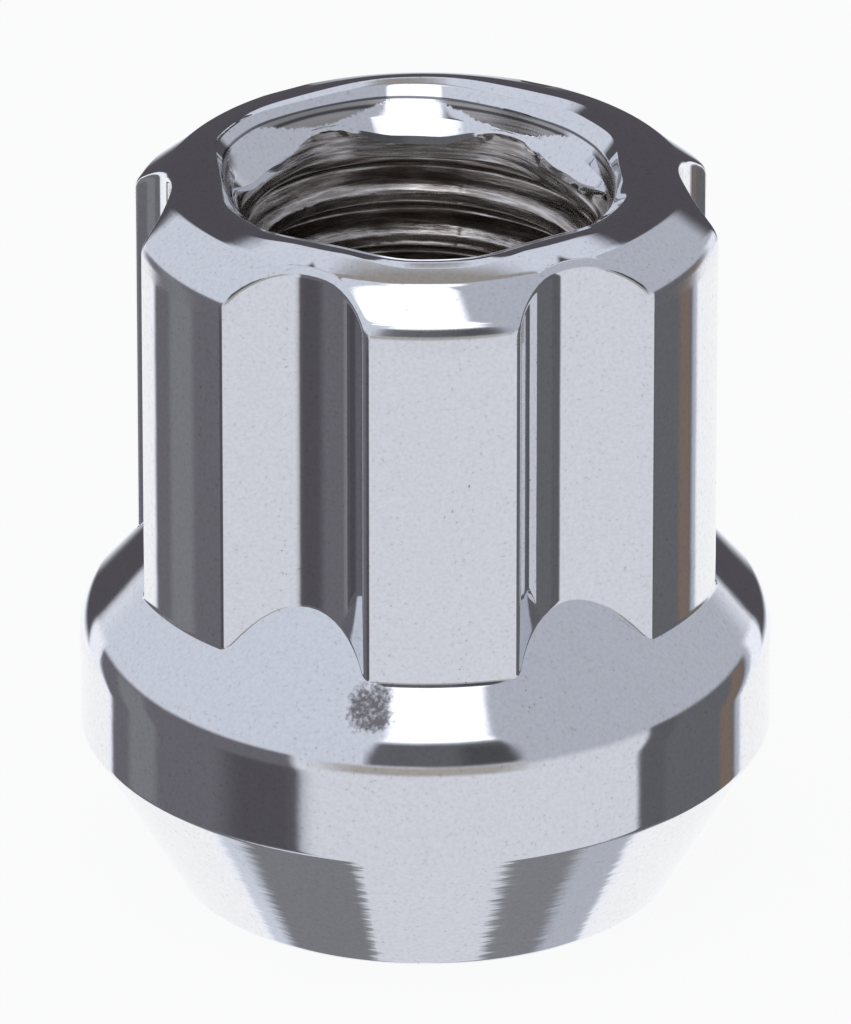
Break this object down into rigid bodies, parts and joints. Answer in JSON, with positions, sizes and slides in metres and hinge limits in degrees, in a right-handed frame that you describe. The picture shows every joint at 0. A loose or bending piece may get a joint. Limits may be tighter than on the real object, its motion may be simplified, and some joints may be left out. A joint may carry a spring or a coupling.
{
  "type": "acorn lug nut",
  "caption": "Open-ended wheel nut with a conical acorn seat below a flange band, a fluted spline-drive body, a bevelled crown and a wavy mouth round its threaded bore.",
  "frame": {"origin": "centre of the seat cone's small end, which is the flat ring the nut stands on", "axes": "+Z along the nut's axis from the seat's small end to the open wrench end; the front rib is 3.2 degrees off -Y"},
  "size_m": [0.0222, 0.0222, 0.0243],
  "materials": {
    "chrome": "bright chrome plate over forged steel, mirror smooth with a few fine pits"
  },
  "bodies": {
    "root": {"lug_nut": "chrome"}
  },
  "joints": []
}
